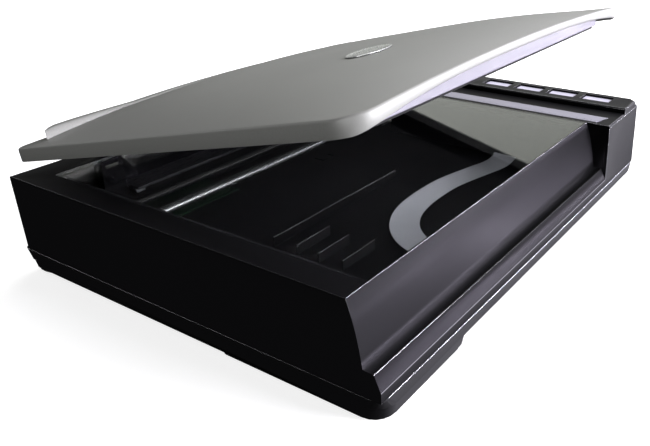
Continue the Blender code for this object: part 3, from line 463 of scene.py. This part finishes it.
def link(name, mesh, finish):
    data = bpy.data.meshes.new(name)
    mesh.to_mesh(data)
    mesh.free()
    data.materials.append(finish)
    made = bpy.data.objects.new(name, data)
    bpy.context.scene.collection.objects.link(made)
    return made


def apply_modifiers(made):
    graph = bpy.context.evaluated_depsgraph_get()
    data = bpy.data.meshes.new_from_object(made.evaluated_get(graph))
    made.modifiers.clear()
    made.data = data
    return made


def smooth(made, angle_deg):
    made.data.shade_smooth()
    made.data.set_sharp_from_angle(angle=math.radians(angle_deg))
    return made


def keep_flats_flat(made):
    """Smooth shading whose normals follow the large faces, so that only the rounded edges turn."""
    smooth(made, 38.0)
    weighted = made.modifiers.new("normals", "WEIGHTED_NORMAL")
    weighted.keep_sharp = True
    return apply_modifiers(made)


def joined_flats(node):
    """The node's mesh with the triangles of each flat face joined."""
    mesh = bmesh.new()
    mesh.from_mesh(nodes[node].data)
    bmesh.ops.remove_doubles(mesh, verts=mesh.verts, dist=SAME_POINT)
    bmesh.ops.dissolve_limit(mesh, angle_limit=math.radians(FLAT_DEG), verts=mesh.verts, edges=mesh.edges)
    return mesh


def refined(node, width):
    """A piece with the node's shape and its edges rounded."""
    made = link(f"{node}_skin", joined_flats(node), FINISHES[SLOT_OF[node]])
    bevel = made.modifiers.new("edges", "BEVEL")
    bevel.width, bevel.segments = width, 2
    bevel.limit_method, bevel.angle_limit = "ANGLE", math.radians(30.0)
    bevel.use_clamp_overlap = True
    keep_flats_flat(apply_modifiers(made))
    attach(made, BODY_OF[node])
    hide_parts(node)
    return made


def split_faces(made, node, belongs, slot, ending="inside", finish=None):
    """Gives the faces that belongs() picks their own piece, with another finish."""
    inner = made.copy()
    inner.data = made.data.copy()
    inner.name = f"{node}_{ending}"
    bpy.context.scene.collection.objects.link(inner)
    for piece, keeps in ((made, False), (inner, True)):
        mesh = bmesh.new()
        mesh.from_mesh(piece.data)
        others = [face for face in mesh.faces if belongs(face) != keeps]
        bmesh.ops.delete(mesh, geom=others, context="FACES")
        if keeps:
            for face in mesh.faces:
                face.material_index = 0
        mesh.to_mesh(piece.data)
        mesh.free()
    inner.data.materials.clear()
    inner.data.materials.append(finish or FINISHES[slot])
    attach(inner, BODY_OF[node])
    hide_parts(node)


# ---- Case ----

CASE_MIDDLE = Vector((-0.03, 0.0, 0.066))
# Just inside the case's sides, back, glass frame and front.
SIDE_X, BACK_Y, FRAME_Z, FRONT_Y = 0.3085, 0.2425, 0.1140, -0.2135
LEFT_SEAM_X, PANEL_Z, LEDGE_Z = -0.3105, 0.10, 0.06
RIB_TOP, RIB_TOP_PLAY = 0.0305, 0.0003
# Only edges at least this sharp and this long are rounded. A long one along the ledge is rounded fully.
EDGE_DEG, OUTSIDE_LENGTH, RIB_LENGTH, LEDGE_LENGTH = 20.0, 0.004, 0.010, 0.1
CASE_EDGE, EDGE_INDEX = 0.0026, 1


def faces_into_case(face):
    """Whether a face looks into the case. Such faces get the darker inside finish, a painted shade."""
    return face.normal.dot(CASE_MIDDLE - face.calc_center_median()) > 0.004


def faces_on_rib_tops(face):
    """Whether a face is part of a rounded edge on top of a floor rib, which gets a painted highlight."""
    return face.material_index == EDGE_INDEX and abs(face.calc_center_median().z - RIB_TOP) < 0.002


def faces_on_lit_edges(face):
    """Whether a face is part of a rounded edge that gets the painted highlight, but not along the seam at the
    left side and the back.
    """
    middle = face.calc_center_median()
    lit = middle.z > PANEL_Z or (middle.y < FRONT_Y and middle.x > LEFT_SEAM_X)
    return face.material_index == EDGE_INDEX and lit


def on_outside(point):
    """Whether a point lies on the case's outer skin or on its top."""
    return abs(point.x) > SIDE_X or point.y > BACK_Y or point.y < FRONT_Y or point.z > FRAME_Z


def roundness(edge):
    """How much of the case's edge radius an edge gets: all along the ledge, half on the outside and ribs."""
    if len(edge.link_faces) != 2 or edge.calc_face_angle_signed(0.0) < math.radians(EDGE_DEG):
        return 0.0
    first, last = (vert.co for vert in edge.verts)
    along = last - first
    if on_outside(first) and on_outside(last) and along.length > OUTSIDE_LENGTH:
        return 1.0 if abs(along.x) > LEDGE_LENGTH and first.y < FRONT_Y and first.z < LEDGE_Z else 0.5
    on_rib = abs(first.z - RIB_TOP) < RIB_TOP_PLAY and abs(last.z - RIB_TOP) < RIB_TOP_PLAY
    return 0.5 if on_rib and along.length > RIB_LENGTH else 0.0


def case_part(node):
    """A case half with its outer edges and its ribs' tops rounded."""
    mesh = joined_flats(node)
    weight = mesh.edges.layers.float.new("bevel_weight_edge")
    for edge in mesh.edges:
        edge[weight] = roundness(edge)
    made = link(f"{node}_skin", mesh, FINISHES[SLOT_OF[node]])
    # The bevel faces get a second, light metallic finish: a painted highlight along the rounded edges.
    made.data.materials.append(FINISHES["edge_highlight"])
    bevel = made.modifiers.new("edges", "BEVEL")
    bevel.width, bevel.segments, bevel.limit_method = CASE_EDGE, 3, "WEIGHT"
    bevel.use_clamp_overlap, bevel.material = True, EDGE_INDEX
    keep_flats_flat(apply_modifiers(made))
    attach(made, BODY_OF[node])
    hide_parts(node)
    return made


def case_halves():
    """Both halves, with their painted-highlight edges and their dark, painted-shade insides as separate
    pieces.
    """
    for node in ("lower_housing", "upper_housing"):
        skin = case_part(node)
        if node == "lower_housing":
            # Painted highlight along the ribs' rounded tops.
            split_faces(skin, node, faces_on_rib_tops, "housing_black", "rib_tops", FINISHES["rib_top_highlight"])
        else:
            # Painted highlight on the lit rounded edges of the upper half.
            split_faces(skin, node, faces_on_lit_edges, "housing_black", "edges", FINISHES["edge_highlight"])
        for polygon in skin.data.polygons:
            polygon.material_index = 0
        # The faces looking into the case get the darker inside finish: painted shade.
        split_faces(skin, node, faces_into_case, "inner_black")
        skin.data.materials.pop(index=EDGE_INDEX)


# ---- Lid ----

LID_TILT = math.radians(13.85)
LID_PIVOT = Vector((0.0, 0.236, 0.132))
LID_LOW, LID_HIGH = (-0.3060, -0.4780), (0.2575, -0.0010)
LID_RIM_Z, LID_CREASE_Z = -0.0020, 0.0130
LID_EDGE_CROWN, LID_DOME, LID_ARCH = 0.0085, 0.0185, 0.0165
LID_RADII = (0.030, 0.030, 0.016, 0.016)
LID_WALL, LID_FILLET = 0.0025, 0.0022
LID_CORNER_STEPS, LID_SIDE_STEPS = 12, 40
NOTCH_XS, NOTCH_SIZE, NOTCH_Y, NOTCH_Z = (-0.200, 0.152), (0.035, 0.016, 0.0135), -0.004, 0.00075
COVER_LOW, COVER_HIGH, COVER_TOP = (-0.2870, -0.0400), (0.2500, -0.0100), 0.0295
COVER_TAPER = 0.024
BADGE_CENTRE, BADGE_HALF = (-0.105, -0.343), (0.030, 0.020)


def lid_to_world(mesh):
    """The lid's own frame has its origin on the hinge pin and is level when the lid is shut."""
    place = Matrix.Translation(LID_PIVOT) @ Matrix.Rotation(-LID_TILT, 4, "X")
    bmesh.ops.transform(mesh, matrix=place, verts=mesh.verts)


def across_lid(x, y):
    """How far along and across the lid a point is, from -1 to 1."""
    (x0, y0), (x1, y1) = LID_LOW, LID_HIGH
    return (2 * x - x0 - x1) / (x1 - x0), (2 * y - y0 - y1) / (y1 - y0)


def lid_crown(x, y):
    """Height of the lid's top skin."""
    s, t = across_lid(x, y)
    return LID_CREASE_Z + LID_EDGE_CROWN * (1 - s * s) + LID_DOME * (1 - abs(s) ** 3) * (1 - t**4)


def lid_rim(x, y):
    """Height of the lid's lower rim, which arches along the front."""
    s, _ = across_lid(x, y)
    along_front = max(0.0, min(1.0, (LID_LOW[1] + 0.012 - y) / 0.010))
    return LID_RIM_Z + LID_ARCH * max(0.0, 1 - abs(s) ** 3) * along_front


def rounded_rectangle(low, high, radii):
    """Points round a rectangle with the corners front left, front right, back right, back left."""
    corners = (
        (low[0], low[1], 1, 1, 180),
        (high[0], low[1], -1, 1, 270),
        (high[0], high[1], -1, -1, 0),
        (low[0], high[1], 1, -1, 90),
    )
    arcs = []
    for (x, y, inward_x, inward_y, first), radius in zip(corners, radii):
        angles = [math.radians(first + 90 * i / LID_CORNER_STEPS) for i in range(LID_CORNER_STEPS + 1)]
        arcs.append(
            [(x + radius * (inward_x + math.cos(a)), y + radius * (inward_y + math.sin(a))) for a in angles]
        )
    points = []
    for arc, following in zip(arcs, arcs[1:] + arcs[:1]):
        points += arc
        (x0, y0), (x1, y1) = arc[-1], following[0]
        shares = [i / LID_SIDE_STEPS for i in range(1, LID_SIDE_STEPS)]
        points += [(x0 + (x1 - x0) * share, y0 + (y1 - y0) * share) for share in shares]
    return points


def lid_outline(inset):
    """The lid seen from above, drawn in by an inset."""
    low = [side + inset for side in LID_LOW]
    high = [side - inset for side in LID_HIGH]
    return rounded_rectangle(low, high, [max(r - inset, 0.002) for r in LID_RADII])


def lofted(rings):
    """A closed skin through rings with the same number of points."""
    mesh = bmesh.new()
    rows = [[mesh.verts.new(point) for point in ring] for ring in rings]
    count = len(rows[0])
    for lower, upper in zip(rows, rows[1:]):
        for i in range(count):
            j = (i + 1) % count
            mesh.faces.new((lower[i], lower[j], upper[j], upper[i]))
    mesh.faces.new(rows[0])
    mesh.faces.new(rows[-1])
    bmesh.ops.recalc_face_normals(mesh, faces=mesh.faces)
    return mesh


def dome_rings(inset, drop, steps):
    """Rings from just inside an edge to the middle of the lid's skin."""
    outline = lid_outline(inset)
    middle = (Vector(LID_LOW) + Vector(LID_HIGH)) / 2
    rings = []
    for i in range(steps):
        # A little closer together near the edge, where the dome bends most.
        share = 1.0 - 0.97 * (i / (steps - 1)) ** 1.15
        ring = [middle + (Vector(point) - middle) * share for point in outline]
        rings.append([(x, y, lid_crown(x, y) - drop) for x, y in ring])
    return rings


def lid_skin():
    """Domed cover with a rounded shoulder, a thin rim and a hollow underside."""
    rings = [
        [(x, y, lid_rim(x, y) + rise) for x, y in lid_outline(inset)]
        for inset, rise in ((0.0016, 0.0), (0.0006, 0.0002), (0.0, 0.0010))
    ]
    shoulder = 6
    for i in range(shoulder):
        angle = math.radians(90 * i / shoulder)
        inset = LID_FILLET * (1 - math.cos(angle))
        lift = LID_FILLET * (math.sin(angle) - 1)
        rings.append([(x, y, lid_crown(x, y) + lift) for x, y in lid_outline(inset)])
    for inset in (LID_FILLET, LID_FILLET + 0.0005, LID_FILLET + 0.0011):
        rings.append([(x, y, lid_crown(x, y)) for x, y in lid_outline(inset)])
    rings += dome_rings(LID_FILLET + 0.0018, 0.0, 26)
    under = [[(x, y, lid_rim(x, y)) for x, y in lid_outline(LID_WALL)]]
    under += dome_rings(LID_WALL, LID_WALL, 12)
    mesh = lofted(list(reversed(under)) + rings)
    lid_to_world(mesh)
    made = link("lid_skin", mesh, FINISHES["lid_grey"])
    for x in NOTCH_XS:
        cutter_mesh = bmesh.new()
        bmesh.ops.create_cube(cutter_mesh, size=1.0)
        bmesh.ops.scale(cutter_mesh, verts=cutter_mesh.verts, vec=NOTCH_SIZE)
        bmesh.ops.translate(cutter_mesh, verts=cutter_mesh.verts, vec=(x, NOTCH_Y, NOTCH_Z))
        lid_to_world(cutter_mesh)
        cutter = link("notch_cutter", cutter_mesh, FINISHES["lid_grey"])
        notch = made.modifiers.new("notch", "BOOLEAN")
        notch.object, notch.operation, notch.solver = cutter, "DIFFERENCE", "EXACT"
        apply_modifiers(made)
        bpy.data.objects.remove(cutter)
    smooth(made, 40.0)
    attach(made, "lid")
    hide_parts("lid_shell")
    # The lid's hollow underside gets the dark inside finish instead of its paint: painted shade.
    split_faces(made, "lid_shell", faces_down, "inner_black")


def faces_down(face):
    """Whether a face of the lid belongs to its hollow underside."""
    to_lid = Matrix.Rotation(LID_TILT, 4, "X") @ Matrix.Translation(-LID_PIVOT)
    middle, normal = to_lid @ face.calc_center_median(), to_lid.to_3x3() @ face.normal
    rim = lid_rim(middle.x, middle.y)
    return normal.z < -0.2 and middle.z > rim + 0.0015 and middle.z > LID_CREASE_Z - 0.005


def hinge_cover():
    """Ridge along the lid's back edge, a little lower at its ends, which draw in towards the back."""
    (x0, y0), (x1, y1) = COVER_LOW, COVER_HIGH
    rings = []
    steps = 60
    for i in range(steps + 1):
        share = i / steps
        end = min(share, 1 - share) * (x1 - x0)
        rise = min(1.0, 0.80 + 0.20 * end / 0.10) if end > 0.0006 else 0.70
        pull = COVER_TAPER * max(0.0, 1 - end / 0.05) * (1 if share < 0.5 else -1)
        profile = (
            (y0, False, 0.0),
            (y0 + 0.0007, True, -0.0016),
            (y0 + 0.0014, True, -0.0006),
            (y0 + 0.0030, True, 0.0),
            (y1 - 0.0100, True, 0.0),
            (y1 - 0.0060, True, -0.0004),
            (y1, False, 0.0012),
            (y1, False, 0.0),
            ((y0 + y1) / 2, False, 0.0002),
        )
        ring = []
        for y, on_crest, lift in profile:
            x = x0 + (x1 - x0) * share + pull * (y - y0) / (y1 - y0)
            height = lid_crown(x, y) + GAP
            if on_crest:
                front = lid_crown(x, y0) + GAP
                height = front + 0.0015 + max(0.0, COVER_TOP - front - 0.0015) * rise
            ring.append((x, y, height + lift))
        rings.append(ring)
    mesh = lofted(rings)
    lid_to_world(mesh)
    made = smooth(link("hinge_ridge", mesh, FINISHES["lid_grey"]), 35.0)
    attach(made, "lid")
    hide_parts("lid_hinge_cover")


def lid_badge():
    """Blank oval plate that follows the dome."""
    (centre_x, centre_y), (half_x, half_y) = BADGE_CENTRE, BADGE_HALF
    count = 72
    rings = []
    profile = (
        (0.0007, 0.3),
        (0.0007, 1.0),
        (0.0012, 1.0),
        (0.0016, 0.97),
        (0.0016, 0.93),
        (0.0012, 0.90),
        (0.0012, 0.6),
        (0.0012, 0.2),
    )
    for lift, share in profile:
        ring = []
        for i in range(count):
            angle = 2 * math.pi * i / count
            x = centre_x + half_x * share * math.cos(angle)
            y = centre_y + half_y * share * math.sin(angle)
            ring.append((x, y, lid_crown(x, y) + lift))
        rings.append(ring)
    mesh = lofted(rings)
    lid_to_world(mesh)
    made = smooth(link("badge_plate", mesh, FINISHES["badge_grey"]), 40.0)
    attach(made, "lid")
    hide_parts("lid_badge")


# ---- Inside ----

RIBBON_ROUTE = (
    (-0.0720, -0.1750, 0.0225),
    (-0.0720, -0.1400, 0.0242),
    (-0.0650, -0.1130, 0.0256),
    (-0.0460, -0.0890, 0.0266),
    (-0.0180, -0.0720, 0.0271),
    (0.0150, -0.0630, 0.0272),
    (0.0550, -0.0600, 0.0272),
    (0.1000, -0.0620, 0.0272),
    (0.1500, -0.0730, 0.0272),
    (0.1900, -0.0850, 0.0285),
    (0.2085, -0.0890, 0.0330),
    (0.2128, -0.0895, 0.0365),
)
RIBBON_WIDTH, RIBBON_THICKNESS, RIBBON_WIRES = 0.036, 0.0008, 20


def curve_through(points, steps):
    """Smooth points through the given ones (Catmull-Rom)."""
    points = [Vector(point) for point in points]
    padded = [2 * points[0] - points[1]] + points + [2 * points[-1] - points[-2]]
    made = []
    for a, b, c, d in zip(padded, padded[1:], padded[2:], padded[3:]):
        for i in range(steps):
            t = i / steps
            bend, twist = 2 * a - 5 * b + 4 * c - d, 3 * b - a - 3 * c + d
            made.append(0.5 * (2 * b + (c - a) * t + bend * t**2 + twist * t**3))
    return made + [points[-1]]


def ribbon():
    """Flat cable with a ridge over each wire, from its header to the carriage."""
    route = curve_through(RIBBON_ROUTE, 8)
    half, thick = RIBBON_WIDTH / 2, RIBBON_THICKNESS / 2
    steps = RIBBON_WIRES * 4
    rings = []
    previous = None
    for i, point in enumerate(route):
        along = (route[min(i + 1, len(route) - 1)] - route[max(i - 1, 0)]).normalized()
        side = along.cross(Vector((0.0, 0.0, 1.0)))
        if side.length < 0.3 and previous:
            side = previous - along * previous.dot(along)
        side.normalize()
        previous = side
        up = side.cross(along).normalized()
        over, under = [], []
        for j in range(steps + 1):
            middle = point + side * half * (2 * j / steps - 1)
            ridge = thick * (0.45 + 0.55 * abs(math.sin(math.pi * RIBBON_WIRES * j / steps)))
            over.append(middle + up * ridge)
            under.insert(0, middle - up * ridge)
        rings.append(over + under)
    made = smooth(link("flat_cable", lofted(rings), FINISHES["cable_grey"]), 60.0)
    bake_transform(made)
    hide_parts("ribbon_cable")


# ---- Deck ----

GUIDE_WIDTH, GUIDE_SLANT, GUIDE_RISE = 0.0245, 0.004, 0.0004
MARK_COUNT, MARK_PITCH, MARK_WIDTH = 83, 0.005, 0.0003


def size_guide():
    """Satin strip beside the glass, slanted at its front end, with a scale along its inner edge."""
    low, high = (Vector(corner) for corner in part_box("size_guide_strip"))
    right = low.x + GUIDE_WIDTH
    outline = [(low.x, low.y + GUIDE_SLANT), (right, low.y - GUIDE_SLANT), (right, high.y), (low.x, high.y)]
    top = high.z + GUIDE_RISE
    rings = [[(x, y, z) for x, y in outline] for z in (low.z, top)]
    made = smooth(link("guide_strip", lofted(rings), FINISHES["guide_strip_grey"]), 12.0)
    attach(made, "base")
    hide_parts("size_guide_strip")
    marks = bmesh.new()
    left = low.x + 0.0008
    for i in range(MARK_COUNT):
        y = high.y - 0.006 - MARK_PITCH * i
        length = 0.0060 if i % 10 == 0 else 0.0042 if i % 2 == 0 else 0.0026
        corners = [(left, y), (left + length, y), (left + length, y + MARK_WIDTH), (left, y + MARK_WIDTH)]
        marks.faces.new([marks.verts.new((a, b, top + 0.00003)) for a, b in corners])
    scale = link("guide_scale", marks, FINISHES["post_black"])
    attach(scale, "base")


# ---- The scene ----

BUTTONS = ("button_1", "button_2", "button_3", "button_4")

make_camera()
make_world()
make_floor()
make_lights()

for node, cad in nodes.items():
    cad.data.materials.clear()
    cad.data.materials.append(FINISHES[SLOT_OF[node]])

for node in BUTTONS:
    refined(node, 0.0006).data.materials[0] = FINISHES["button_satin"]
case_halves()
# The liner gets the darkened white: painted shade.
refined("lid_liner", 0.0006).data.materials[0] = FINISHES["liner_shaded_white"]
refined("document_pad", 0.0004)
hinge_cover()
lid_skin()
lid_badge()
ribbon()
size_guide()
# Only the calibration strip's underside, which the carriage's lamps light, is white.
strip = refined("calibration_strip", 0.0002)
split_faces(strip, "calibration_strip", lambda face: face.normal.z > -0.5, "inner_black")
DONE = {
    "calibration_strip",
    "document_pad",
    "lid_badge",
    "lid_hinge_cover",
    "lid_liner",
    "lid_shell",
    "lower_housing",
    "platen_glass",
    "ribbon_cable",
    "size_guide_strip",
    "upper_housing",
    *BUTTONS,
}
for node in sorted(set(nodes) - DONE):
    made = refined(node, 0.0003)
    # The rear stiffener gets the darkened steel: painted shade.
    if node == "rear_stiffener":
        made.data.materials[0] = FINISHES["steel_painted_shade"]
    if node.startswith("hinge_") and SLOT_OF[node] == "inner_black":
        made.data.materials[0] = FINISHES["post_black"]

# Lamps shine through the glass.
nodes["platen_glass"].visible_shadow = False

bpy.context.scene.view_settings.view_transform = "Standard"
